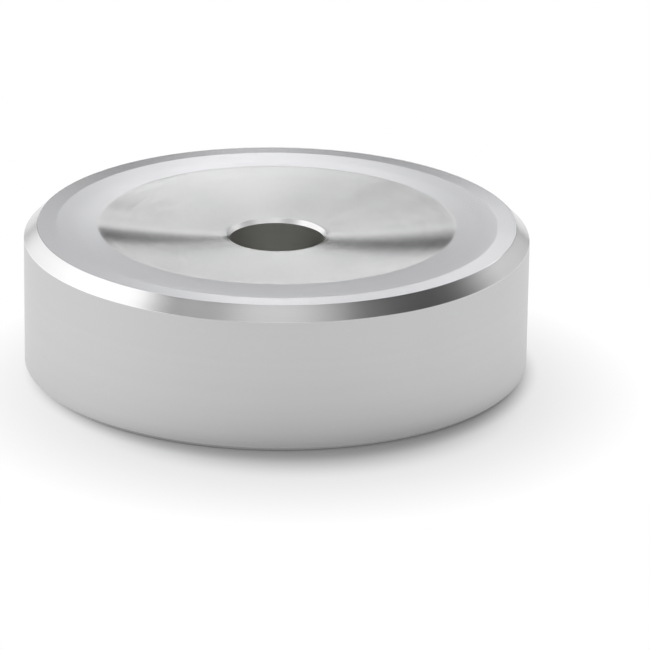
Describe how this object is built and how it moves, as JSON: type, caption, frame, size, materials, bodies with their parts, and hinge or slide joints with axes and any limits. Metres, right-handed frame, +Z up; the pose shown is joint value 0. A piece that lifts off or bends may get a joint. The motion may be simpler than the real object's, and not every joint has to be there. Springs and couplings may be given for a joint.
{
  "type": "record spindle adapter",
  "caption": "Round turned aluminium adapter with a shallow dished top and a central bore, which centres a large-hole record on a turntable spindle.",
  "frame": {"origin": "centre of the flat foot, on the axis of the bore", "axes": "+Z up along the bore, from the foot to the dished face; X and Y are free"},
  "size_m": [0.038, 0.038, 0.0109],
  "materials": {
    "turned_aluminium": "fine satin wall, bright chamfer and face-turned dish"
  },
  "bodies": {
    "root": {"adapter_body": "turned_aluminium"}
  },
  "joints": []
}
